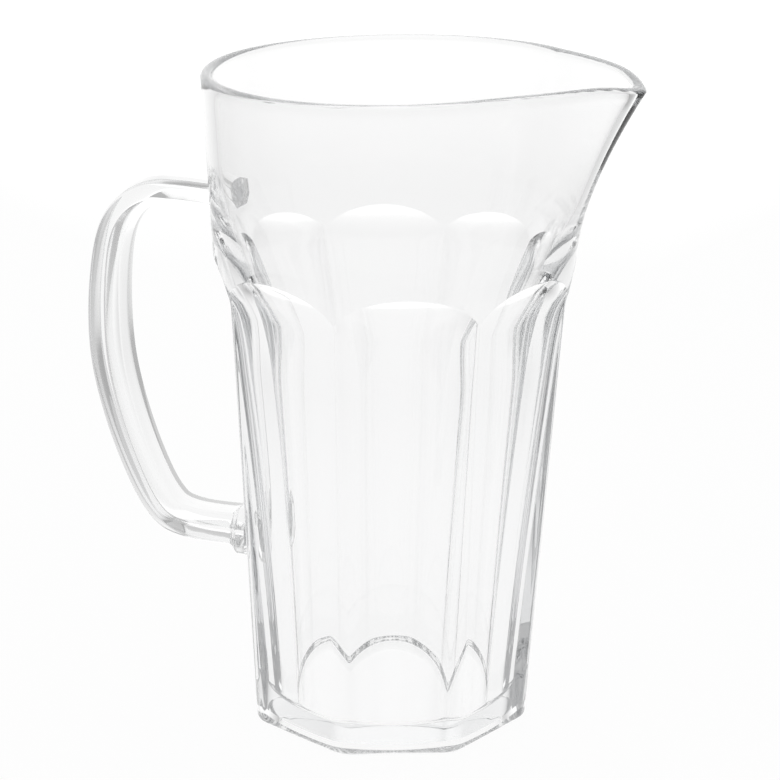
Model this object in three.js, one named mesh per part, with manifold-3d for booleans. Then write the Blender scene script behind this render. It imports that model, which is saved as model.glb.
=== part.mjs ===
// Glass water jug: a pressed vessel with flat panels and a pouring lip, and a bar handle stuck on hot.
// Millimetres, +Z up. The lip points along +X and the handle along -X.
import * as THREE from 'three';
import { mergeVertices } from 'three/addons/utils/BufferGeometryUtils.js';
import Module from 'manifold-3d';

// Vessel, outside
const PANELS = 8;
const PANEL_HEIGHT = 159.5; // from the foot to where a panel starts to curve out into its arch
const COLLAR_HEIGHT = 80.5; // from there to the rim at the handle
const RIM_RADIUS = 68.6;
const CONE_FOOT_RADIUS = 54.8; // the collar's cone, carried on down to the foot
const FOOT_CORNER_RADIUS = 54.4;
const LEDGE_CORNER_RADIUS = 63.4;
const LEDGE_COVE = 27;
const FOOT_EDGE_ROUND = 11; // rounding of the upright edges between panels
const LEDGE_EDGE_ROUND = 3;
const HEEL = 0.8;

// Pouring lip and rim
const LIP_REACH = 20;
const LIP_DROP = 65; // how far below the rim the lip begins
const LIP_HALF_ANGLE = Math.PI / 4;
const LIP_NOSE_ANGLE = 0.05;
const LIP_WALL = 6;
const RIM_WALL = 4.4;
const RIM_BEAD = 2;
const RIM_RISE = 3.7; // how far the rim climbs beside the lip
const RIM_DIP_ANGLE = 0.16;

// Vessel, inside and underneath
const FLOOR_GLASS = 4.6;
const FLOOR_WALL = 15.2;
const FLOOR_FILLET = 2.4;
const CAVITY_BOW = 3; // how far the inner wall bows in from a straight cone
const FLARE_DROP = 19.5; // how far below the top of the panels the inner wall starts to flare out
const FLARE_RISE = 45.5; // how far above it the inner wall runs parallel to the collar
const FOOT_RING = 6.3; // width of the bearing face at the middle of a panel
const RECESS_DEPTH = 2;
const RECESS_DRAFT = 0.8;

// Handle
const WELD_GAP = 0.3;
const TOP_ARM_DROP = 50.5; // from the rim down to the upper arm
const LOW_ARM_HEIGHT = 60.8; // from the foot up to the lower arm
const GRIP_REACH = 47.1; // from the wall at the upper arm out to the middle of the grip
const BAR_WIDTH = 19;
const TOP_ARM_DEPTH = 10.4;
const GRIP_DEPTH = 13.9;
const LOW_ARM_DEPTH = 13.1;
const OUTER_BEVEL_WIDTH = 6.6; // across the bar at the grip, on the side away from the vessel
const OUTER_BEVEL_DEPTH = 2.1;
const INNER_BEVEL_WIDTH = 3.7; // on the side toward the vessel
const INNER_BEVEL_DEPTH = 4.7;
const TOP_PAD = 0.6; // how far the bar swells all round where it meets the wall
const LOW_PAD = 3.2;
const PAD_LENGTH = 2.4;

// Centreline of the bar, as shares of the grip's reach and of the height between the arms
const BEND_SHARES = [
  [0.35, 1.005],
  [0.6, 0.995],
  [0.82, 0.938],
  [0.945, 0.835],
  [1, 0.64],
  [0.965, 0.45],
  [0.8, 0.235],
  [0.56, 0.055],
  [0.3, 0],
];

const { lerp, clamp, smoothstep, euclideanModulo } = THREE.MathUtils;
const HALF_PANEL = Math.PI / PANELS;
const SIDES = 10 * PANELS;
const RIM_HEIGHT = PANEL_HEIGHT + COLLAR_HEIGHT;
const FLOOR = RECESS_DEPTH + FLOOR_GLASS;

const steps = (from, to, count) => Array.from({ length: count + 1 }, (_, i) => lerp(from, to, i / count));

function coneRadius(z) {
  return lerp(CONE_FOOT_RADIUS, RIM_RADIUS, z / RIM_HEIGHT);
}

// Distance of a panel from the axis, with the cove that carries it out to the collar.
function panelDistance(z) {
  const flat = lerp(FOOT_CORNER_RADIUS, LEDGE_CORNER_RADIUS, z / PANEL_HEIGHT) * Math.cos(HALF_PANEL);
  const rise = clamp(z - PANEL_HEIGHT, 0, LEDGE_COVE);
  return flat + LEDGE_COVE - Math.sqrt(LEDGE_COVE ** 2 - rise ** 2);
}

// Radius of the panelled section with rounded corners, one of them at angle 0.
function panelRadius(angle, z) {
  const corner = Math.abs(euclideanModulo(angle + HALF_PANEL, 2 * HALF_PANEL) - HALF_PANEL);
  const distance = panelDistance(z);
  const round = lerp(FOOT_EDGE_ROUND, LEDGE_EDGE_ROUND, z / PANEL_HEIGHT);
  const centre = (distance - round) / Math.cos(HALF_PANEL);
  const arcEnd = Math.atan2(round * Math.sin(HALF_PANEL), centre + round * Math.cos(HALF_PANEL));
  if (corner > arcEnd) return distance / Math.cos(HALF_PANEL - corner);
  return centre * Math.cos(corner) + Math.sqrt(round ** 2 - (centre * Math.sin(corner)) ** 2);
}

// 0 where the lip begins, 1 at the foot of the rim's bead.
function lipHeight(z) {
  return clamp((z - RIM_HEIGHT + LIP_DROP) / (LIP_DROP - RIM_BEAD), 0, 1);
}

function lipShare(angle, z) {
  const turn = Math.hypot(angle, LIP_NOSE_ANGLE) - LIP_NOSE_ANGLE;
  return Math.max(1 - turn / LIP_HALF_ANGLE, 0) ** 1.65 * lipHeight(z) ** 1.7;
}

function outerRadius(angle, z) {
  return Math.min(panelRadius(angle, z), coneRadius(z)) + LIP_REACH * lipShare(angle, z);
}

function cavityRadius(z) {
  const share = (z - FLOOR) / (RIM_HEIGHT - FLOOR);
  const straight = lerp(panelDistance(FLOOR) - FLOOR_WALL, RIM_RADIUS - RIM_WALL, share);
  const body = straight - 4 * CAVITY_BOW * share * (1 - share);
  const flare = smoothstep(z, PANEL_HEIGHT - FLARE_DROP, PANEL_HEIGHT + FLARE_RISE);
  return lerp(body, coneRadius(z) - RIM_WALL, flare);
}

function innerRadius(angle, z) {
  return cavityRadius(z) + (LIP_REACH + RIM_WALL - LIP_WALL) * lipShare(angle, z);
}

// The rim climbs toward the lip and dips again at its tip.
function rimLift(angle, z) {
  const climb = ((1 + Math.cos(angle)) / 2) ** 1.5;
  const dip = 1 - 0.7 * Math.exp(-((angle / RIM_DIP_ANGLE) ** 2));
  return RIM_RISE * climb * dip * lipHeight(z) ** 2;
}

// One ring of points round the vessel, its radius a function of the angle.
function wallRing(z, radius) {
  return Array.from({ length: SIDES }, (_, i) => {
    const turn = (2 * Math.PI * i) / SIDES;
    const angle = turn > Math.PI ? turn - 2 * Math.PI : turn;
    const r = radius(angle);
    return new THREE.Vector3(r * Math.cos(angle), r * Math.sin(angle), z + rimLift(angle, z));
  });
}

// Closed skin over rings of equal count, with a fan over the first ring and the last.
function skin(rings) {
  const count = rings[0].length;
  const middle = (ring) => ring.reduce((sum, p) => sum.add(p), new THREE.Vector3()).divideScalar(count);
  const first = rings.length * count;
  const last = first - count;
  const faces = [];
  for (let i = 0; i < count; i += 1) {
    const next = (i + 1) % count;
    faces.push(first, next, i, first + 1, last + i, last + next);
    for (let row = 0; row < last; row += count) {
      faces.push(row + i, row + next, row + count + i);
      faces.push(row + next, row + count + next, row + count + i);
    }
  }
  const points = [...rings.flat(), middle(rings[0]), middle(rings.at(-1))];
  return new THREE.BufferGeometry().setFromPoints(points).setIndex(faces);
}

// Rings up the outside; grow moves them outward for the tool that trims the handle.
function outsideRings(grow) {
  const archTop = PANEL_HEIGHT + 0.7 * LEDGE_COVE;
  const heights = [
    ...steps(HEEL, PANEL_HEIGHT, 4),
    ...steps(PANEL_HEIGHT, archTop, 9).slice(1),
    ...steps(archTop, RIM_HEIGHT - RIM_BEAD, 6).slice(1),
  ];
  return heights.map((z) => wallRing(z, (angle) => outerRadius(angle, z) + grow));
}

function beadRings() {
  const base = RIM_HEIGHT - RIM_BEAD;
  return steps(0, Math.PI, 6).slice(1, -1).map((turn) => wallRing(base + RIM_BEAD * Math.sin(turn), (angle) => {
    const share = (1 + Math.cos(turn)) / 2;
    return lerp(innerRadius(angle, base), outerRadius(angle, base), share);
  }));
}

function cavityRings() {
  const low = FLOOR + FLOOR_FILLET;
  const wall = steps(RIM_HEIGHT - RIM_BEAD, low, 14).map((z) => wallRing(z, (angle) => innerRadius(angle, z)));
  const fillet = steps(0, Math.PI / 2, 3).slice(1).map((turn) => {
    const radius = cavityRadius(low) - FLOOR_FILLET * (1 - Math.cos(turn));
    return wallRing(low - FLOOR_FILLET * Math.sin(turn), () => radius);
  });
  return [...wall, ...fillet];
}

function vesselGeometry() {
  const recessRadius = panelDistance(0) - FOOT_RING;
  return skin([
    wallRing(RECESS_DEPTH, () => recessRadius - RECESS_DRAFT),
    wallRing(0, () => recessRadius),
    wallRing(0, (angle) => outerRadius(angle, 0) - HEEL),
    ...outsideRings(0),
    ...beadRings(),
    ...cavityRings(),
  ]);
}

// Both ends of the centreline lie inside the wall, so that the bar can be trimmed to it.
function handlePath() {
  const top = RIM_HEIGHT - TOP_ARM_DROP;
  const wallTop = outerRadius(Math.PI, top);
  const wallLow = outerRadius(Math.PI, LOW_ARM_HEIGHT);
  const bend = BEND_SHARES.map(([out, up]) => [wallTop + out * GRIP_REACH, lerp(LOW_ARM_HEIGHT, top, up)]);
  const route = [[wallTop - BAR_WIDTH / 3, top], ...bend, [wallLow - BAR_WIDTH / 3, LOW_ARM_HEIGHT]];
  return new THREE.CatmullRomCurve3(route.map(([out, z]) => new THREE.Vector3(-out, 0, z)));
}

// Eight-sided section of the bar at a share of its length, swelling into a pad at both ends.
function barRing(path, share) {
  const length = path.getLength();
  const pad = (size, run) => size * Math.exp(-((Math.max(run - BAR_WIDTH / 3, 0) / PAD_LENGTH) ** 2));
  const swell = pad(TOP_PAD, share * length) + pad(LOW_PAD, (1 - share) * length);
  const depth = share < 0.5
    ? lerp(TOP_ARM_DEPTH, GRIP_DEPTH, smoothstep(share, 0.12, 0.5))
    : lerp(GRIP_DEPTH, LOW_ARM_DEPTH, smoothstep(share, 0.5, 0.9));
  const deep = depth / 2 + swell;
  const wide = BAR_WIDTH / 2 + swell;
  const outer = deep * (1 - (2 * OUTER_BEVEL_DEPTH) / GRIP_DEPTH);
  const outerFlat = wide * (1 - (2 * OUTER_BEVEL_WIDTH) / BAR_WIDTH);
  const inner = deep * (1 - (2 * INNER_BEVEL_DEPTH) / GRIP_DEPTH);
  const innerFlat = wide * (1 - (2 * INNER_BEVEL_WIDTH) / BAR_WIDTH);
  const section = [
    [deep, outerFlat], [outer, wide], [-inner, wide], [-deep, innerFlat],
    [-deep, -innerFlat], [-inner, -wide], [outer, -wide], [deep, -outerFlat],
  ];
  const centre = path.getPointAt(share);
  const across = new THREE.Vector3(0, 1, 0);
  const outward = new THREE.Vector3().crossVectors(across, path.getTangentAt(share));
  return section.map(([d, w]) => centre.clone().addScaledVector(outward, d).addScaledVector(across, w));
}

const wasm = await Module();
wasm.setup();

function toSolid(geometry) {
  return new wasm.Manifold(new wasm.Mesh({
    numProp: 3,
    vertProperties: geometry.attributes.position.array,
    triVerts: new Uint32Array(geometry.index.array),
  }));
}

// The bar follows the wall at the width of the weld: everything inside the wall is cut away.
function handleGeometry() {
  const path = handlePath();
  const stations = steps(0, Math.PI, 56).map((turn) => (1 - Math.cos(turn)) / 2);
  const bar = toSolid(skin(stations.map((share) => barRing(path, share))));
  const trimmed = bar.subtract(toSolid(skin(outsideRings(WELD_GAP)))).getMesh();
  const geometry = new THREE.BufferGeometry();
  geometry.setAttribute('position', new THREE.BufferAttribute(trimmed.vertProperties, 3));
  geometry.setIndex(new THREE.BufferAttribute(trimmed.triVerts, 1));
  return mergeVertices(geometry);
}

function glassPiece(name, geometry) {
  geometry.computeVertexNormals();
  const glass = new THREE.MeshStandardMaterial({ color: '#e6ebe9', roughness: 0.04, metalness: 0 });
  const piece = new THREE.Mesh(geometry, glass);
  piece.name = name;
  return piece;
}

const jug = new THREE.Group();
jug.add(glassPiece('vessel', vesselGeometry()), glassPiece('handle', handleGeometry()));

// The origin lies under the middle of the whole part, halfway from the lip's tip to the back of the handle.
const extent = new THREE.Box3().setFromObject(jug);
jug.position.x = -(extent.min.x + extent.max.x) / 2;

export default jug;
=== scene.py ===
"""Glass water jug: the pressed vessel and its stuck-on handle, dressed around the packed solids."""

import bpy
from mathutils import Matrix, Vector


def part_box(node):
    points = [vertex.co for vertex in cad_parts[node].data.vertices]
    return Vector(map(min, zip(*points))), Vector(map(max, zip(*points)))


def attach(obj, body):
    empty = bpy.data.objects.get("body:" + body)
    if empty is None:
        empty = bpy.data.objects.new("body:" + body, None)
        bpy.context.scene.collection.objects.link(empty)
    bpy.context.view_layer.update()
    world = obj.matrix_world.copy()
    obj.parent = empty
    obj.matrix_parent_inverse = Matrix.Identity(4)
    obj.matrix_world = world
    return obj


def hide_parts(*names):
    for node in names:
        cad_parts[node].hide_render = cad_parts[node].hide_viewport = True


bl_info = {
    "name": "Glass Water Jug",
    "version": (1, 0, 0),
    "blender": (4, 5, 0),
    "location": "View3D > Sidebar > Jug",
    "description": "Presses a panelled glass vessel, sticks a bar handle on it and sets a white table",
    "category": "Object",
}

import math

import bpy
import numpy as np
from bpy.props import FloatProperty, FloatVectorProperty, IntProperty, PointerProperty, StringProperty
from mathutils import Matrix, Vector

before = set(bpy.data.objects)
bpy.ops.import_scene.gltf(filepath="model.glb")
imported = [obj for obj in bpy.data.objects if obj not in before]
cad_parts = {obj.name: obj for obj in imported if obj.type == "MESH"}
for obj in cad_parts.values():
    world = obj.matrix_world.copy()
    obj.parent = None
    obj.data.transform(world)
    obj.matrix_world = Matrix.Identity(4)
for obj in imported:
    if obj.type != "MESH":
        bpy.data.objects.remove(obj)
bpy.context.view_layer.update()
VESSEL_LOW, VESSEL_HIGH = (Vector(corner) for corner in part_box("vessel"))

MM = 0.001
MATH = "ShaderNodeMath"
RIM_REACH = (VESSEL_HIGH.y - VESSEL_LOW.y) / 2
AXIS_X = VESSEL_LOW.x + RIM_REACH  # the vessel's own axis in the part's frame

# Points and rows of the vessel's mesh
CORNER_POINTS = 49
HEEL_ROWS = 5
PANEL_ROWS = 25
ARCH_ROWS = 29
COLLAR_ROWS = 27
BEAD_ROWS = 15
CAVITY_ROWS = 45
FILLET_ROWS = 9
DISC_SHARES = (0, 0.3, 0.6, 0.85, 1)  # rings over the recess and over the floor
LEDGE_SHARES = (0.015, 0.04, 0.1, 0.2, 0.4, 0.7, 1)  # rows above the arches, closest at their edge
LEDGE_BAND = 5 * MM  # how far above the highest arch those rows end
ARCH_LIMIT = 0.95  # share of the cove below which every arch ends
HALVINGS = 40
SEAM = 0.002 * MM  # points nearer to each other than this are welded
SHARP_EDGE = math.radians(50)  # faces that meet at a greater angle keep a crisp edge

# Shape of the lip and of the rim beside it
FLANK_POWER = 1.65  # how the lip narrows toward its tip
GROWTH_POWER = 1.7  # how the lip grows with height
CLIMB_POWER = 1.5  # how the rim's climb gathers toward the lip
LIFT_POWER = 2.0  # how the climb grows with height
DIP_SHARE = 0.7  # how much of the climb the dip at the tip takes back

# Centreline of the handle's bar, as shares of the grip's reach and of the height between the arms
BEND = (
    (0.35, 1.005), (0.6, 0.995), (0.82, 0.938), (0.945, 0.835), (1.0, 0.64),
    (0.965, 0.45), (0.8, 0.235), (0.56, 0.055), (0.3, 0.0),
)
THICKENING = (0.12, 0.5)  # shares of the bar's length between which its depth grows to the grip's
THINNING = (0.5, 0.9)  # and between which it changes to the lower arm's
BAR_STATIONS = 260
ROUND_POINTS = 4  # points on each rounded edge of the bar
ROOT_SHARE = 1 / 6  # how far the bar's path runs into the wall, as a share of the bar's width

# Stage
FRONT_SHARE = 0.6  # how squarely a direction points to the front where the front's level is full
TABLE_GAP = 0.1 * MM  # keeps the table's face clear of the foot's
SENSOR_WIDTH = 36.0  # mm
VIEW_REACH = 50.0  # m


def millimetres(name, description, value):
    """A length property, its default given in millimetres."""
    return FloatProperty(name=name, description=description, default=value * MM, unit="LENGTH", precision=5)


def degrees(name, description, value):
    """An angle property, its default given in degrees."""
    return FloatProperty(name=name, description=description, default=math.radians(value), subtype="ANGLE")


def brightness(name, description, value):
    """A brightness property, next to 1 for white."""
    return FloatProperty(name=name, description=description, default=value, min=0.0)


class VesselSizes(bpy.types.PropertyGroup):
    """Sizes of the pressed vessel."""

    panels: IntProperty(name="Panels", description="Flat panels round the body", default=8, min=4, max=16)
    panel_height: millimetres("Panel height", "Foot to where a panel curves out into its arch", 159.5)
    rim_height: millimetres("Rim height", "Foot to rim at the handle", 240.0)
    rim_radius: millimetres("Rim radius", "Outside of the round rim", 68.6)
    cone_foot_radius: millimetres("Cone foot radius", "The collar's cone, carried down to the foot", 54.8)
    foot_corner: millimetres("Foot corner radius", "Axis to a sharp panel corner at the foot", 54.4)
    ledge_corner: millimetres("Ledge corner radius", "Axis to a sharp panel corner under the arch", 63.4)
    ledge_cove: millimetres("Ledge cove", "Radius of the cove that carries a panel out to the collar", 27.0)
    foot_round: millimetres("Foot edge rounding", "Rounding of the upright edges at the foot", 11.0)
    ledge_round: millimetres("Ledge edge rounding", "Rounding of the upright edges under the arch", 3.0)
    heel: millimetres("Heel", "Rounding between the panels and the bearing face", 0.8)
    rim_wall: millimetres("Rim wall", "Glass at the rim and through the collar", 4.4)
    rim_bead: millimetres("Rim bead", "Height of the fire-polished round on the rim", 2.0)
    floor: millimetres("Floor", "Table to the floor of the cavity", 6.6)
    floor_radius: millimetres("Floor radius", "Cavity at the floor", 35.4)
    floor_fillet: millimetres("Floor fillet", "Rounding between the floor and the wall", 2.4)
    cavity_bow: millimetres("Cavity bow", "How far the inner wall bows in from a straight cone", 3.0)
    flare_low: millimetres("Flare low", "Foot to where the inner wall begins to flare out", 140.0)
    flare_high: millimetres("Flare high", "Foot to where the inner wall runs parallel to the collar", 205.0)
    recess_radius: millimetres("Recess radius", "Round recess under the foot", 44.0)
    recess_depth: millimetres("Recess depth", "Depth of the recess under the foot", 2.0)
    recess_draft: millimetres("Recess draft", "Slope of the recess's wall", 0.8)


class LipSizes(bpy.types.PropertyGroup):
    """Sizes of the pouring lip, drawn out of the round collar."""

    reach: millimetres("Lip reach", "How far the tip stands out of the round rim", 20.0)
    wall: millimetres("Lip wall", "Glass at the tip", 6.0)
    drop: millimetres("Lip drop", "How far below the rim the lip begins", 65.0)
    rise: millimetres("Rim rise", "How far the rim climbs beside the lip", 3.7)
    half_angle: degrees("Half angle", "From the tip to where the round rim takes over", 45.0)
    nose_angle: FloatProperty(
        name="Nose angle", description="Rounding of the tip", default=0.05, subtype="ANGLE")
    dip_angle: FloatProperty(
        name="Dip angle", description="Half width of the dip in the rim at the tip",
        default=0.16, subtype="ANGLE")


class HandleSizes(bpy.types.PropertyGroup):
    """Sizes of the bar handle."""

    top_drop: millimetres("Top arm drop", "Rim to the upper arm", 50.5)
    low_height: millimetres("Low arm height", "Foot to the lower arm", 60.8)
    grip_reach: millimetres("Grip reach", "Wall at the upper arm to the middle of the grip", 47.1)
    width: millimetres("Bar width", "Across the bar", 19.0)
    top_depth: millimetres("Top arm depth", "Bar seen from the side, at the upper arm", 10.4)
    grip_depth: millimetres("Grip depth", "Bar seen from the side, at the grip", 13.9)
    low_depth: millimetres("Low arm depth", "Bar seen from the side, at the lower arm", 13.1)
    outer_bevel_width: millimetres("Outer bevel width", "Across the bar, away from the vessel", 6.6)
    outer_bevel_depth: millimetres("Outer bevel depth", "Along the bar's depth, away from the vessel", 2.1)
    inner_bevel_width: millimetres("Inner bevel width", "Across the bar, toward the vessel", 3.7)
    inner_bevel_depth: millimetres("Inner bevel depth", "Along the bar's depth, toward the vessel", 4.7)
    edge_round: millimetres("Bar edge rounding", "Rounding of the bar's eight edges", 1.4)
    top_pad: millimetres("Top pad", "Swelling where the upper arm meets the wall", 0.6)
    low_pad: millimetres("Low pad", "Swelling where the lower arm meets the wall", 3.2)
    pad_length: millimetres("Pad length", "How far a pad's swelling runs along the bar", 2.4)
    weld_depth: millimetres("Weld depth", "How far the bar's roots have run into the wall", 0.3)


class GlassLooks(bpy.types.PropertyGroup):
    """Looks of the glass."""

    tint: StringProperty(
        name="Tint", description="Colour that thick glass takes on, sRGB hex", default="#D9DADB")
    density: FloatProperty(name="Density", description="Absorption per metre of glass", default=5.0, min=0.0)
    ior: FloatProperty(name="IOR", description="Refractive index of soda-lime glass", default=1.5, min=1.0)
    wave: FloatProperty(
        name="Wave", description="Strength of the pressed surface's slow waves", default=0.02, min=0.0)
    wave_width: millimetres("Wave width", "Width of the slow waves", 20.0)
    wave_height: millimetres("Wave height", "Height of the slow waves at full strength", 0.5)


class StageLooks(bpy.types.PropertyGroup):
    """White table, white surroundings and the camera."""

    table: StringProperty(name="Table", description="Colour of the table, sRGB hex", default="#FAFAFA")
    table_fill: FloatProperty(
        name="Table fill", description="Share of even white, over the table's own shade, where it is seen",
        default=0.96, min=0.0, max=1.0)
    table_reach: millimetres("Table reach", "Vessel's axis to the table's edges", 2000.0)
    # Painted light for the glass: a painted pool of light on the table round the jug, and painted shade on
    # the table far to the left and right
    painted_pool_near: millimetres("Pool near", "Vessel's axis to where the table's level begins to change", 150.0)
    painted_pool_far: millimetres("Pool far", "Vessel's axis to where that change is complete", 600.0)
    painted_side_shade: brightness("Table sides", "Brightness of the table far to the left and right", 0.4)
    backdrop: brightness("Backdrop", "Brightness of the backdrop behind the jug", 1.22)
    backdrop_near: degrees("Backdrop near", "Angle from straight back inside which it is full", 15.0)
    backdrop_far: degrees("Backdrop far", "Angle from straight back at which it has faded", 70.0)
    left: brightness("Left", "Brightness of the room on the handle's side", 0.5)
    right: brightness("Right", "Brightness of the room on the lip's side", 0.45)
    front: brightness("Front", "Brightness of the room behind the camera", 0.6)
    overhead: brightness("Overhead", "Brightness of the soft light overhead", 1.0)
    overhead_near: degrees("Overhead near", "Angle from straight up inside which that light is full", 23.0)
    overhead_far: degrees("Overhead far", "Angle from straight up at which that light has faded", 41.0)
    bounces: IntProperty(
        name="Light bounces", description="Glass faces that light may cross or strike before it is lost",
        default=48)
    camera_turn: degrees("Camera turn", "Turn of the view from square-on to the handle's plane", 18.4)
    camera_tilt: degrees("Camera tilt", "Downward tilt of the view", 19.104)
    camera_roll: degrees("Camera roll", "Turn about the line of sight", 0.765)
    camera_place: FloatVectorProperty(
        name="Camera place",
        description="Right of, in front of and above the foot's middle, in the view's own directions",
        default=(-1.003 * MM, 791.641 * MM, 396.403 * MM), subtype="TRANSLATION", unit="LENGTH")
    camera_lens: FloatProperty(
        name="Lens", description="Focal length on a 36 mm sensor, in mm", default=105.84)


def linear(hex_colour):
    """Linear RGBA of an sRGB hex colour."""
    channels = [int(hex_colour[i:i + 2], 16) / 255 for i in (1, 3, 5)]
    return [c / 12.92 if c <= 0.04045 else ((c + 0.055) / 1.055) ** 2.4 for c in channels] + [1.0]


def add(tree, kind, inputs=None, **settings):
    """Add a node, set its properties, fill or link its inputs, and give back its first output."""
    node = tree.nodes.new(kind)
    for name, value in settings.items():
        setattr(node, name, value)
    for key, value in (inputs or {}).items():
        if isinstance(value, bpy.types.NodeSocket):
            tree.links.new(value, node.inputs[key])
        else:
            node.inputs[key].default_value = value
    return node.outputs[0] if node.outputs else node


def new_tree(name, sockets):
    """A geometry node tree with the named inputs, and the outputs of its group input node."""
    tree = bpy.data.node_groups.new(name, "GeometryNodeTree")
    tree.interface.new_socket("Geometry", in_out="OUTPUT", socket_type="NodeSocketGeometry")
    for socket, kind in sockets.items():
        tree.interface.new_socket(socket, in_out="INPUT", socket_type=f"NodeSocket{kind}")
    return tree, tree.nodes.new("NodeGroupInput").outputs


def grown(name, base, tree, values):
    """Run a tree on an object, then keep only the plain mesh that it grows, as a new object."""
    bpy.context.scene.collection.objects.link(base)
    modifier = base.modifiers.new(tree.name, "NODES")
    modifier.node_group = tree
    sockets = {item.name: item.identifier for item in tree.interface.items_tree if item.in_out == "INPUT"}
    for key, value in values.items():
        modifier[sockets[key]] = value
    depsgraph = bpy.context.evaluated_depsgraph_get()
    mesh = bpy.data.meshes.new_from_object(base.evaluated_get(depsgraph), depsgraph=depsgraph)
    mesh.name = name
    bpy.data.objects.remove(base)
    piece = bpy.data.objects.new(name, mesh)
    bpy.context.scene.collection.objects.link(piece)
    mesh.shade_smooth()
    mesh.set_sharp_from_angle(angle=SHARP_EDGE)
    return piece


def cone_radius(sizes, z):
    """Round cone of the collar and of the body's corners."""
    return sizes.cone_foot_radius + (sizes.rim_radius - sizes.cone_foot_radius) * z / sizes.rim_height


def panel_radius(sizes, turn, z):
    """Outer radius of the panelled body at a turn from the nearest corner, with rounded upright edges."""
    half = math.pi / sizes.panels
    corner = sizes.foot_corner + (sizes.ledge_corner - sizes.foot_corner) * z / sizes.panel_height
    rise = np.clip(z - sizes.panel_height, 0, sizes.ledge_cove)
    flat = corner * math.cos(half) + sizes.ledge_cove - np.sqrt(sizes.ledge_cove ** 2 - rise ** 2)
    edge = sizes.foot_round + (sizes.ledge_round - sizes.foot_round) * z / sizes.panel_height
    centre = (flat - edge) / math.cos(half)
    arc_end = np.arctan2(edge * math.sin(half), centre + edge * math.cos(half))
    arc = centre * np.cos(turn) + np.sqrt(np.maximum(edge ** 2 - (centre * np.sin(turn)) ** 2, 0))
    return np.where(np.abs(turn) > arc_end, flat / np.cos(half - np.abs(turn)), arc)


def cavity_radius(sizes, z):
    """Round cavity: a cone whose wall bows in a little, then flares out to run parallel to the collar."""
    share = (z - sizes.floor) / (sizes.rim_height - sizes.floor)
    straight = sizes.floor_radius + (sizes.rim_radius - sizes.rim_wall - sizes.floor_radius) * share
    body = straight - 4 * sizes.cavity_bow * share * (1 - share)
    flare = np.clip((z - sizes.flare_low) / (sizes.flare_high - sizes.flare_low), 0, 1)
    return body + (cone_radius(sizes, z) - sizes.rim_wall - body) * flare ** 2 * (3 - 2 * flare)


def arch_height(sizes, turn):
    """Height at which a panel's cove meets the round collar, found by halving."""
    low = np.full_like(turn, sizes.panel_height)
    high = low + ARCH_LIMIT * sizes.ledge_cove
    for _ in range(HALVINGS):
        middle = (low + high) / 2
        inside = panel_radius(sizes, turn, middle) < cone_radius(sizes, middle)
        low = np.where(inside, middle, low)
        high = np.where(inside, high, middle)
    return low


def wedge_rows(sizes):
    """Rows of points over one corner, mid-panel to mid-panel: radius, height and outside share."""
    spread = np.linspace(-1, 1, CORNER_POINTS)
    turn = np.sign(spread) * spread ** 2 * math.pi / sizes.panels
    plain = np.zeros_like(turn)
    arch = arch_height(sizes, turn)
    rim = sizes.rim_height - sizes.rim_bead
    collar = float(arch.max()) + LEDGE_BAND
    rows = []
    for share in DISC_SHARES:
        radius = share * (sizes.recess_radius - sizes.recess_draft)
        rows.append((plain + radius, plain + sizes.recess_depth, 0))
    rows.append((plain + sizes.recess_radius, plain, 0))
    foot = panel_radius(sizes, turn, sizes.heel)
    for bend in np.linspace(0, math.pi / 2, HEEL_ROWS):
        z = sizes.heel * (1 - math.cos(bend))
        rows.append((foot - sizes.heel * (1 - math.sin(bend)), plain + z, 1))
    for share in np.linspace(0, 1, PANEL_ROWS)[1:]:
        z = sizes.heel + share * (sizes.panel_height - sizes.heel)
        rows.append((panel_radius(sizes, turn, z), plain + z, 1))
    for share in np.linspace(0, 1, ARCH_ROWS)[1:]:
        z = sizes.panel_height + share * (arch - sizes.panel_height)
        rows.append((np.minimum(panel_radius(sizes, turn, z), cone_radius(sizes, z)), z, 1))
    for share in LEDGE_SHARES:
        z = arch + share * (collar - arch)
        rows.append((cone_radius(sizes, z), z, 1))
    for z in np.linspace(collar, rim, COLLAR_ROWS)[1:]:
        rows.append((plain + cone_radius(sizes, z), plain + z, 1))
    for bend in np.linspace(0, math.pi, BEAD_ROWS)[1:-1]:
        outside = (1 + math.cos(bend)) / 2
        radius = cavity_radius(sizes, rim) + outside * (cone_radius(sizes, rim) - cavity_radius(sizes, rim))
        rows.append((plain + radius, plain + rim + sizes.rim_bead * math.sin(bend), outside))
    low = sizes.floor + sizes.floor_fillet
    for z in np.linspace(rim, low, CAVITY_ROWS):
        rows.append((plain + cavity_radius(sizes, z), plain + z, 0))
    for bend in np.linspace(0, math.pi / 2, FILLET_ROWS)[1:]:
        radius = cavity_radius(sizes, low) - sizes.floor_fillet * (1 - math.cos(bend))
        rows.append((plain + radius, plain + low - sizes.floor_fillet * math.sin(bend), 0))
    for share in reversed(DISC_SHARES[:-1]):
        rows.append((plain + share * radius, plain + sizes.floor, 0))
    return turn, rows


def wedge_mesh(sizes):
    """Mesh of one corner of the vessel, with how far outside each point lies kept as an attribute."""
    turn, rows = wedge_rows(sizes)
    points = [np.stack([r * np.cos(turn), r * np.sin(turn), z], axis=1) for r, z, _ in rows]
    width = len(turn)
    faces = [
        (a, a + 1, a + width + 1, a + width)
        for row in range(len(rows) - 1)
        for a in range(row * width, row * width + width - 1)
    ]
    mesh = bpy.data.meshes.new("vessel_corner")
    mesh.from_pydata(np.concatenate(points).tolist(), [], faces)
    outside = mesh.attributes.new("outside", "FLOAT", "POINT")
    outside.data.foreach_set("value", np.repeat([share for _, _, share in rows], width))
    return mesh


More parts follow.
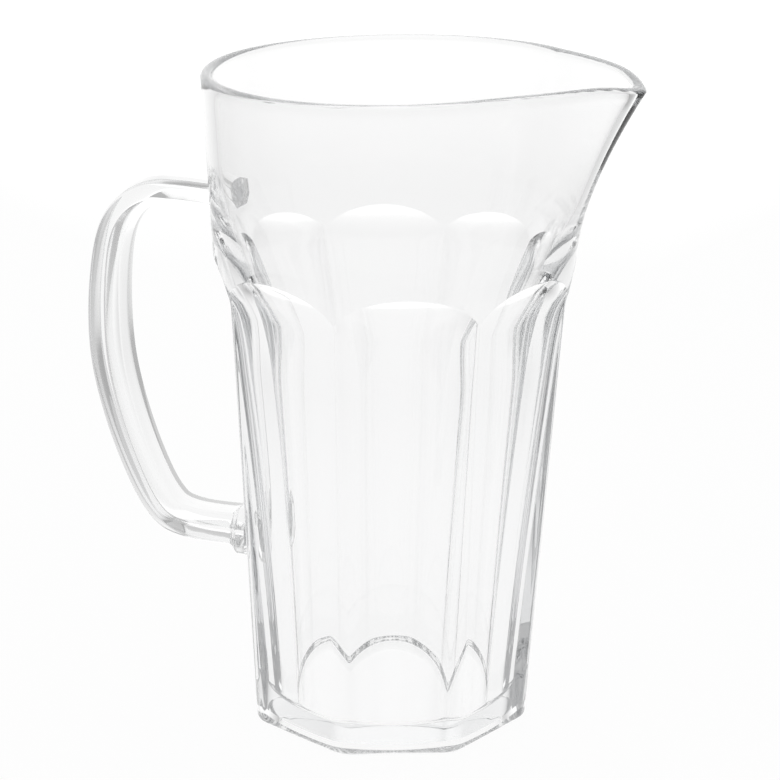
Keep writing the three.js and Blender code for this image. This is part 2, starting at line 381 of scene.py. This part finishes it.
def pressing_tree():
    """Repeats one corner round the axis, welds the seams and draws the lip out of the collar."""
    tree, given = new_tree("Vessel pressing", {
        "Corner": "Geometry", "Panels": "Int", "Lip Outside": "Float", "Lip Inside": "Float",
        "Lip Foot": "Float", "Lip Top": "Float", "Half Angle": "Float", "Nose Angle": "Float",
        "Rim Rise": "Float", "Dip Angle": "Float", "Axis": "Vector", "Material": "Material",
    })
    step = add(tree, MATH, {0: math.tau, 1: given["Panels"]}, operation="DIVIDE")
    index = add(tree, "GeometryNodeInputIndex")
    turn = add(tree, MATH, {0: index, 1: step}, operation="MULTIPLY")
    euler = add(tree, "ShaderNodeCombineXYZ", {"Z": turn})
    rotation = add(tree, "FunctionNodeEulerToRotation", {0: euler})
    centres = add(tree, "GeometryNodePoints", {"Count": given["Panels"]})
    ring = add(tree, "GeometryNodeInstanceOnPoints",
               {"Points": centres, "Instance": given["Corner"], "Rotation": rotation})
    whole = add(tree, "GeometryNodeRealizeInstances", {0: ring})
    welded = add(tree, "GeometryNodeMergeByDistance", {"Geometry": whole, "Distance": SEAM})

    place = add(tree, "ShaderNodeSeparateXYZ", {0: add(tree, "GeometryNodeInputPosition")}).node.outputs
    angle = add(tree, MATH, {0: place["Y"], 1: place["X"]}, operation="ARCTAN2")
    outside = add(tree, "GeometryNodeInputNamedAttribute", {"Name": "outside"}, data_type="FLOAT")
    height = add(tree, "ShaderNodeMapRange",
                 {"Value": place["Z"], "From Min": given["Lip Foot"], "From Max": given["Lip Top"]})

    # How far the lip is drawn out at each point
    square = add(tree, MATH, {0: angle, 1: 2.0}, operation="POWER")
    nose = add(tree, MATH, {0: given["Nose Angle"], 1: given["Nose Angle"], 2: square},
               operation="MULTIPLY_ADD")
    slant = add(tree, MATH, {0: nose}, operation="SQRT")
    bluntness = add(tree, MATH, {0: slant, 1: given["Nose Angle"]}, operation="SUBTRACT")
    spread = add(tree, "ShaderNodeMapRange",
                 {"Value": bluntness, "From Max": given["Half Angle"], "To Min": 1.0, "To Max": 0.0})
    flank = add(tree, MATH, {0: spread, 1: FLANK_POWER}, operation="POWER")
    growth = add(tree, MATH, {0: height, 1: GROWTH_POWER}, operation="POWER")
    share = add(tree, MATH, {0: flank, 1: growth}, operation="MULTIPLY")
    reach = add(tree, "ShaderNodeMapRange",
                {"Value": outside, "To Min": given["Lip Inside"], "To Max": given["Lip Outside"]})
    drawn = add(tree, MATH, {0: share, 1: reach}, operation="MULTIPLY")

    # How far the rim is lifted there, with a dip at the tip
    cosine = add(tree, MATH, {0: angle}, operation="COSINE")
    sine = add(tree, MATH, {0: angle}, operation="SINE")
    facing = add(tree, MATH, {0: cosine, 1: 0.5, 2: 0.5}, operation="MULTIPLY_ADD")
    climb = add(tree, MATH, {0: facing, 1: CLIMB_POWER}, operation="POWER")
    off_tip = add(tree, MATH, {0: angle, 1: given["Dip Angle"]}, operation="DIVIDE")
    off_square = add(tree, MATH, {0: off_tip, 1: off_tip}, operation="MULTIPLY")
    fade = add(tree, MATH, {0: off_square, 1: -1.0}, operation="MULTIPLY")
    at_tip = add(tree, MATH, {0: fade}, operation="EXPONENT")
    dip = add(tree, MATH, {0: at_tip, 1: -DIP_SHARE, 2: 1.0}, operation="MULTIPLY_ADD")
    crest = add(tree, MATH, {0: climb, 1: dip}, operation="MULTIPLY")
    high = add(tree, MATH, {0: height, 1: LIFT_POWER}, operation="POWER")
    rising = add(tree, MATH, {0: crest, 1: high}, operation="MULTIPLY")
    lift = add(tree, MATH, {0: rising, 1: given["Rim Rise"]}, operation="MULTIPLY")

    move_x = add(tree, MATH, {0: drawn, 1: cosine}, operation="MULTIPLY")
    move_y = add(tree, MATH, {0: drawn, 1: sine}, operation="MULTIPLY")
    move = add(tree, "ShaderNodeCombineXYZ", {"X": move_x, "Y": move_y, "Z": lift})
    shift = add(tree, "ShaderNodeVectorMath", {0: move, 1: given["Axis"]}, operation="ADD")
    shaped = add(tree, "GeometryNodeSetPosition", {"Geometry": welded, "Offset": shift})
    glazed = add(tree, "GeometryNodeSetMaterial", {"Geometry": shaped, "Material": given["Material"]})
    add(tree, "NodeGroupOutput", {0: glazed})
    return tree


def poly_curve(name, points, closed):
    """A curve object of straight runs through the points."""
    curve = bpy.data.curves.new(name, "CURVE")
    curve.dimensions = "3D"
    spline = curve.splines.new("POLY")
    spline.points.add(len(points) - 1)
    for point, place in zip(spline.points, points):
        point.co = (*place, 1.0)
    spline.use_cyclic_u = closed
    return bpy.data.objects.new(name, curve)


def bar_section(sizes):
    """Corners of the eight-sided section at the grip: X away from the vessel, Y across the bar."""
    deep, wide = sizes.grip_depth / 2, sizes.width / 2
    half = [
        (deep, wide - sizes.outer_bevel_width, 0.0),
        (deep - sizes.outer_bevel_depth, wide, 0.0),
        (sizes.inner_bevel_depth - deep, wide, 0.0),
        (-deep, wide - sizes.inner_bevel_width, 0.0),
    ]
    return half + [(x, -y, z) for x, y, z in reversed(half)]


def bar_tree():
    """Sweeps the section along the handle's path and trims both roots to the vessel's wall."""
    tree, given = new_tree("Handle bar", {
        "Path": "Geometry", "Section": "Object", "Vessel": "Object", "Width": "Float",
        "Edge Round": "Float", "Top Depth": "Float", "Grip Depth": "Float", "Low Depth": "Float",
        "Top Pad": "Float", "Low Pad": "Float", "Pad Length": "Float", "Root Depth": "Float",
        "Weld Depth": "Float", "Material": "Material",
    })
    smooth = add(tree, "GeometryNodeCurveSplineType", {0: given["Path"]}, spline_type="CATMULL_ROM")
    path = add(tree, "GeometryNodeResampleCurve", {"Curve": smooth, "Count": BAR_STATIONS})
    station = add(tree, "GeometryNodeSplineParameter").node.outputs
    length = add(tree, "GeometryNodeCurveLength", {0: path})
    tangent = add(tree, "GeometryNodeInputTangent")
    outward = add(tree, "ShaderNodeVectorMath", {0: (0.0, 1.0, 0.0), 1: tangent}, operation="CROSS_PRODUCT")

    # The bar's own depth along its length
    thicken = add(tree, "ShaderNodeMapRange", {
        "Value": station["Factor"], "From Min": THICKENING[0], "From Max": THICKENING[1],
        "To Min": given["Top Depth"], "To Max": given["Grip Depth"]}, interpolation_type="SMOOTHSTEP")
    thinner = add(tree, MATH, {0: given["Low Depth"], 1: given["Grip Depth"]}, operation="SUBTRACT")
    thin = add(tree, "ShaderNodeMapRange", {
        "Value": station["Factor"], "From Min": THINNING[0], "From Max": THINNING[1],
        "To Min": 0.0, "To Max": thinner}, interpolation_type="SMOOTHSTEP")
    depth = add(tree, MATH, {0: thicken, 1: thin}, operation="ADD")

    # The swelling of both roots, and the scale of the section that follows from it
    from_end = add(tree, MATH, {0: length, 1: station["Length"]}, operation="SUBTRACT")
    swellings = []
    for run, size in ((station["Length"], given["Top Pad"]), (from_end, given["Low Pad"])):
        clear = add(tree, MATH, {0: run, 1: given["Root Depth"]}, operation="SUBTRACT")
        beyond = add(tree, MATH, {0: clear, 1: 0.0}, operation="MAXIMUM")
        scaled = add(tree, MATH, {0: beyond, 1: given["Pad Length"]}, operation="DIVIDE")
        squared = add(tree, MATH, {0: scaled, 1: scaled}, operation="MULTIPLY")
        falling = add(tree, MATH, {0: squared, 1: -1.0}, operation="MULTIPLY")
        left = add(tree, MATH, {0: falling}, operation="EXPONENT")
        swellings.append(add(tree, MATH, {0: left, 1: size}, operation="MULTIPLY"))
    swell = add(tree, MATH, {0: swellings[0], 1: swellings[1]}, operation="ADD")
    both = add(tree, MATH, {0: swell, 1: 2.0}, operation="MULTIPLY")
    full_depth = add(tree, MATH, {0: depth, 1: both}, operation="ADD")
    full_width = add(tree, MATH, {0: given["Width"], 1: both}, operation="ADD")
    deep = add(tree, MATH, {0: full_depth, 1: given["Grip Depth"]}, operation="DIVIDE")
    wide = add(tree, MATH, {0: full_width, 1: given["Width"]}, operation="DIVIDE")
    scale = add(tree, "ShaderNodeCombineXYZ", {"X": deep, "Y": wide})

    on_path = tree.nodes.new("GeometryNodeCaptureAttribute")
    tree.links.new(path, on_path.inputs["Geometry"])
    centre = add(tree, "GeometryNodeInputPosition")
    for slot, source in (("Centre", centre), ("Outward", outward), ("Scale", scale)):
        on_path.capture_items.new("VECTOR", slot)
        tree.links.new(source, on_path.inputs[slot])

    eight = add(tree, "GeometryNodeObjectInfo", {"Object": given["Section"]}).node.outputs["Geometry"]
    soft = add(tree, "GeometryNodeFilletCurve",
               {"Curve": eight, "Count": ROUND_POINTS, "Radius": given["Edge Round"]}, mode="POLY")
    section = add(tree, "GeometryNodeResampleCurve", {"Curve": soft}, mode="EVALUATED")
    on_section = tree.nodes.new("GeometryNodeCaptureAttribute")
    on_section.capture_items.new("VECTOR", "Offset")
    tree.links.new(section, on_section.inputs["Geometry"])
    tree.links.new(add(tree, "GeometryNodeInputPosition"), on_section.inputs["Offset"])

    swept = add(tree, "GeometryNodeCurveToMesh", {
        "Curve": on_path.outputs["Geometry"], "Profile Curve": on_section.outputs["Geometry"],
        "Fill Caps": True})
    offset = add(tree, "ShaderNodeVectorMath",
                 {0: on_section.outputs["Offset"], 1: on_path.outputs["Scale"]}, operation="MULTIPLY")
    parts = add(tree, "ShaderNodeSeparateXYZ", {0: offset}).node.outputs
    out = add(tree, "ShaderNodeVectorMath", {0: on_path.outputs["Outward"], "Scale": parts["X"]},
              operation="SCALE")
    across = add(tree, "ShaderNodeCombineXYZ", {"Y": parts["Y"]})
    aside = add(tree, "ShaderNodeVectorMath", {0: out, 1: across}, operation="ADD")
    spot = add(tree, "ShaderNodeVectorMath", {0: on_path.outputs["Centre"], 1: aside}, operation="ADD")
    bar = add(tree, "GeometryNodeSetPosition", {"Geometry": swept, "Position": spot})

    # The wall, drawn in by the depth of the weld, cuts the roots to its own form
    wall = add(tree, "GeometryNodeObjectInfo", {"Object": given["Vessel"]}).node.outputs["Geometry"]
    normal = add(tree, "GeometryNodeInputNormal")
    inward = add(tree, MATH, {0: given["Weld Depth"], 1: -1.0}, operation="MULTIPLY")
    sink = add(tree, "ShaderNodeVectorMath", {0: normal, "Scale": inward}, operation="SCALE")
    weld = add(tree, "GeometryNodeSetPosition", {"Geometry": wall, "Offset": sink})
    trimmed = add(tree, "GeometryNodeMeshBoolean", {"Mesh 1": bar, "Mesh 2": weld},
                  operation="DIFFERENCE", solver="MANIFOLD")
    whole = add(tree, "GeometryNodeRealizeInstances", {0: trimmed})
    glazed = add(tree, "GeometryNodeSetMaterial", {"Geometry": whole, "Material": given["Material"]})
    add(tree, "NodeGroupOutput", {0: glazed})
    return tree


def soda_lime_glass(name, looks):
    """Soda-lime glass, pressed and fire polished."""
    material = bpy.data.materials.new(name)
    material.use_nodes = True
    tree = material.node_tree
    tree.nodes.clear()
    place = add(tree, "ShaderNodeTexCoord").node.outputs["Object"]
    # Clear and glossy to the eye, a little grey where it is thick. Its skin has the slow waves, three
    # times as tall as wide, that hot glass takes on in pressing
    stretched = add(tree, "ShaderNodeMapping", {"Vector": place, "Scale": (1.0, 1.0, 0.3)})
    waves = add(tree, "ShaderNodeTexNoise", {
        "Vector": stretched, "Scale": 1 / looks.wave_width, "Detail": 1.0, "Roughness": 0.4})
    bump = add(tree, "ShaderNodeBump", {
        "Height": waves, "Strength": looks.wave, "Distance": looks.wave_height})
    surface = add(tree, "ShaderNodeBsdfPrincipled", {
        "Base Color": linear("#FFFFFF"), "Roughness": 0.0, "IOR": looks.ior,
        "Transmission Weight": 1.0, "Normal": bump})
    depth = add(tree, "ShaderNodeVolumeAbsorption", {"Color": linear(looks.tint), "Density": looks.density})
    add(tree, "ShaderNodeOutputMaterial", {"Surface": surface, "Volume": depth})
    return material


def white_laminate(name, looks):
    """White laminate table top, with a painted pool of light round the jug and painted shade toward its
    sides.
    """
    material = bpy.data.materials.new(name)
    material.use_nodes = True
    tree = material.node_tree
    tree.nodes.clear()
    # Matt and even to the eye: lifted to white where it is seen, with the jug's shadow kept
    ray = add(tree, "ShaderNodeLightPath").node.outputs
    seen = add(tree, MATH, {0: ray["Is Camera Ray"], 1: ray["Is Glossy Ray"]}, operation="MAXIMUM")
    shown = add(tree, MATH, {0: seen, 1: ray["Is Transmission Ray"]}, operation="MAXIMUM")
    lift = add(tree, MATH, {0: shown, 1: looks.table_fill}, operation="MULTIPLY")
    matt = add(tree, "ShaderNodeBsdfDiffuse", {"Color": linear(looks.table)})
    # Painted light, seen in the glass: the table glows as a painted pool of light round the jug, rises to the
    # backdrop's level behind the jug and fades to painted shade toward both sides
    place = add(tree, "ShaderNodeTexCoord").node.outputs["Object"]
    off = add(tree, "ShaderNodeVectorMath", {0: place}, operation="LENGTH").node.outputs["Value"]
    toward = add(tree, "ShaderNodeVectorMath", {0: place}, operation="NORMALIZE")
    behind = add(tree, "ShaderNodeSeparateXYZ", {0: toward}).node.outputs["Y"]
    rear = add(tree, "ShaderNodeMapRange", {
        "Value": off, "From Min": looks.painted_pool_far, "From Max": looks.table_reach,
        "To Min": 1.0, "To Max": looks.backdrop})
    far = add(tree, "ShaderNodeMapRange", {
        "Value": behind,
        "From Min": math.cos(looks.backdrop_far), "From Max": math.cos(looks.backdrop_near),
        "To Min": looks.painted_side_shade, "To Max": rear})
    # Painted pool of light: full near the jug's axis, fading out to the painted levels beyond
    painted_pool_level = add(tree, "ShaderNodeMapRange", {
        "Value": off, "From Min": looks.painted_pool_near, "From Max": looks.painted_pool_far,
        "To Min": 1.0, "To Max": far}, interpolation_type="SMOOTHSTEP")
    level = add(tree, MATH, {0: painted_pool_level, 1: ray["Is Camera Ray"]}, operation="MAXIMUM")
    white = add(tree, "ShaderNodeEmission", {"Color": linear("#FFFFFF"), "Strength": level})
    even = add(tree, "ShaderNodeMixShader", {"Fac": lift, 1: matt, 2: white})
    add(tree, "ShaderNodeOutputMaterial", {"Surface": even})
    return material


def view_axes(looks):
    """Right and straight back as the camera sees them, level with the table."""
    turn = looks.camera_turn
    right = Vector((math.cos(turn), math.sin(turn), 0.0))
    back = Vector((-math.sin(turn), math.cos(turn), 0.0))
    return right, back


def set_camera(scene, looks):
    """Camera that looks down on the jug from its place in front."""
    right, back = view_axes(looks)
    up = Vector((0.0, 0.0, 1.0))
    tilt = looks.camera_tilt
    view = back * math.cos(tilt) - up * math.sin(tilt)
    upright = up * math.cos(tilt) + back * math.sin(tilt)
    facing = Matrix((right, upright, -view)).transposed().to_4x4()
    aside, away, above = looks.camera_place
    camera = bpy.data.objects.new("camera", bpy.data.cameras.new("camera"))
    scene.collection.objects.link(camera)
    camera.matrix_world = facing @ Matrix.Rotation(looks.camera_roll, 4, "Z")
    camera.location = Vector((AXIS_X, 0.0, 0.0)) + right * aside - back * away + up * above
    camera.data.sensor_width = SENSOR_WIDTH
    camera.data.lens = looks.camera_lens
    camera.data.clip_end = VIEW_REACH
    scene.camera = camera


def lay_table(scene, looks):
    """Square table top round the vessel's axis, turned with the view."""
    reach = looks.table_reach
    corners = [(-reach, -reach, 0.0), (reach, -reach, 0.0), (reach, reach, 0.0), (-reach, reach, 0.0)]
    mesh = bpy.data.meshes.new("table")
    mesh.from_pydata(corners, [], [(0, 1, 2, 3)])
    mesh.materials.append(white_laminate("White laminate", looks))
    table = bpy.data.objects.new("table", mesh)
    table.location = (AXIS_X, 0.0, -TABLE_GAP)
    table.rotation_euler.z = looks.camera_turn
    scene.collection.objects.link(table)
    return table


def white_surroundings(name, looks):
    """White room: brightest behind the jug, dimmer at the sides and in front, with a soft light overhead."""
    right, back = view_axes(looks)
    world = bpy.data.worlds.new(name)
    world.use_nodes = True
    tree = world.node_tree
    tree.nodes.clear()
    toward = add(tree, "ShaderNodeTexCoord").node.outputs["Generated"]
    behind, beside = (
        add(tree, "ShaderNodeVectorMath", {0: toward, 1: axis}, operation="DOT_PRODUCT").node.outputs["Value"]
        for axis in (back, right)
    )
    above = add(tree, "ShaderNodeSeparateXYZ", {0: toward}).node.outputs["Z"]
    sides = add(tree, "ShaderNodeMapRange", {
        "Value": beside, "From Min": -1.0, "From Max": 1.0, "To Min": looks.left, "To Max": looks.right})
    rear = add(tree, "ShaderNodeMapRange", {
        "Value": behind,
        "From Min": math.cos(looks.backdrop_far), "From Max": math.cos(looks.backdrop_near),
        "To Min": sides, "To Max": looks.backdrop})
    around = add(tree, "ShaderNodeMapRange", {
        "Value": behind, "From Min": 0.0, "From Max": -FRONT_SHARE, "To Min": rear, "To Max": looks.front})
    top = add(tree, "ShaderNodeMapRange", {
        "Value": above,
        "From Min": math.cos(looks.overhead_far), "From Max": math.cos(looks.overhead_near),
        "To Min": 0.0, "To Max": looks.overhead})
    bright = add(tree, MATH, {0: around, 1: top}, operation="MAXIMUM")
    ray = add(tree, "ShaderNodeLightPath").node.outputs
    strength = add(tree, MATH, {0: bright, 1: ray["Is Camera Ray"]}, operation="MAXIMUM")
    sky = add(tree, "ShaderNodeBackground", {"Color": linear("#FFFFFF"), "Strength": strength})
    add(tree, "ShaderNodeOutputWorld", {"Surface": sky})
    return world


class JUG_OT_press_vessel(bpy.types.Operator):
    """Press the panelled vessel, with its cavity, rim and pouring lip"""

    bl_idname = "jug.press_vessel"
    bl_label = "Press Vessel"

    def execute(self, context):
        sizes, lip = context.scene.jug_vessel, context.scene.jug_lip
        base = bpy.data.objects.new("vessel_corner", wedge_mesh(sizes))
        piece = grown("pressed_vessel", base, pressing_tree(), {
            "Panels": sizes.panels,
            "Lip Outside": lip.reach, "Lip Inside": lip.reach + sizes.rim_wall - lip.wall,
            "Lip Foot": sizes.rim_height - lip.drop, "Lip Top": sizes.rim_height - sizes.rim_bead,
            "Half Angle": lip.half_angle, "Nose Angle": lip.nose_angle, "Rim Rise": lip.rise,
            "Dip Angle": lip.dip_angle, "Axis": (AXIS_X, 0.0, 0.0),
            "Material": soda_lime_glass("Soda-lime glass, pressed", context.scene.jug_glass),
        })
        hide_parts("vessel")
        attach(piece, "root")
        return {"FINISHED"}


class JUG_OT_stick_handle(bpy.types.Operator):
    """Sweep the bar handle along its bend and trim its roots to the wall"""

    bl_idname = "jug.stick_handle"
    bl_label = "Stick Handle"

    def execute(self, context):
        vessel, sizes = context.scene.jug_vessel, context.scene.jug_handle
        top = vessel.rim_height - sizes.top_drop
        at_corner = np.zeros(1)
        wall_top = cone_radius(vessel, top)
        wall_low = float(panel_radius(vessel, at_corner, np.array([sizes.low_height]))[0])
        root = sizes.width * ROOT_SHARE
        height = top - sizes.low_height
        bend = [(wall_top + out * sizes.grip_reach, sizes.low_height + up * height) for out, up in BEND]
        route = [(wall_top - root, top), *bend, (wall_low - root, sizes.low_height)]
        path = poly_curve("handle_path", [(AXIS_X - out, 0.0, z) for out, z in route], closed=False)
        section = poly_curve("handle_section", bar_section(sizes), closed=True)
        piece = grown("bar_handle", path, bar_tree(), {
            "Section": section, "Vessel": bpy.data.objects["pressed_vessel"], "Width": sizes.width,
            "Edge Round": sizes.edge_round, "Top Depth": sizes.top_depth, "Grip Depth": sizes.grip_depth,
            "Low Depth": sizes.low_depth, "Top Pad": sizes.top_pad, "Low Pad": sizes.low_pad,
            "Pad Length": sizes.pad_length, "Root Depth": root, "Weld Depth": sizes.weld_depth,
            "Material": soda_lime_glass("Soda-lime glass, drawn bar", context.scene.jug_glass),
        })
        bpy.data.objects.remove(section)
        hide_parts("handle")
        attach(piece, "root")
        return {"FINISHED"}


class JUG_OT_set_stage(bpy.types.Operator):
    """Set the white table, the white surroundings and the camera"""

    bl_idname = "jug.set_stage"
    bl_label = "Set Stage"

    def execute(self, context):
        scene, looks = context.scene, context.scene.jug_stage
        scene.view_settings.view_transform = "Standard"
        scene.cycles.max_bounces = looks.bounces
        scene.cycles.glossy_bounces = looks.bounces
        scene.cycles.transmission_bounces = looks.bounces
        set_camera(scene, looks)
        table = lay_table(scene, looks)
        scene.world = white_surroundings("White surroundings", looks)
        return {"FINISHED"}


class JUG_PT_sidebar(bpy.types.Panel):
    """Sizes, looks and the three steps that make the jug"""

    bl_label = "Glass Water Jug"
    bl_space_type = "VIEW_3D"
    bl_region_type = "UI"
    bl_category = "Jug"

    def draw(self, context):
        layout = self.layout
        for step in STEPS:
            layout.operator(step.bl_idname)
        for name, kind in GROUPS.items():
            box = layout.box()
            box.label(text=kind.__doc__)
            for prop in kind.__annotations__:
                box.prop(getattr(context.scene, name), prop)


STEPS = (JUG_OT_press_vessel, JUG_OT_stick_handle, JUG_OT_set_stage)
GROUPS = {
    "jug_vessel": VesselSizes,
    "jug_lip": LipSizes,
    "jug_handle": HandleSizes,
    "jug_glass": GlassLooks,
    "jug_stage": StageLooks,
}


def register():
    for name, kind in GROUPS.items():
        bpy.utils.register_class(kind)
        setattr(bpy.types.Scene, name, PointerProperty(type=kind))
    for kind in (*STEPS, JUG_PT_sidebar):
        bpy.utils.register_class(kind)


def unregister():
    for kind in (JUG_PT_sidebar, *reversed(STEPS)):
        bpy.utils.unregister_class(kind)
    for name, kind in reversed(GROUPS.items()):
        delattr(bpy.types.Scene, name)
        bpy.utils.unregister_class(kind)


def main():
    register()
    bpy.ops.jug.press_vessel()
    bpy.ops.jug.stick_handle()
    bpy.ops.jug.set_stage()


if __name__ == "__main__":
    main()
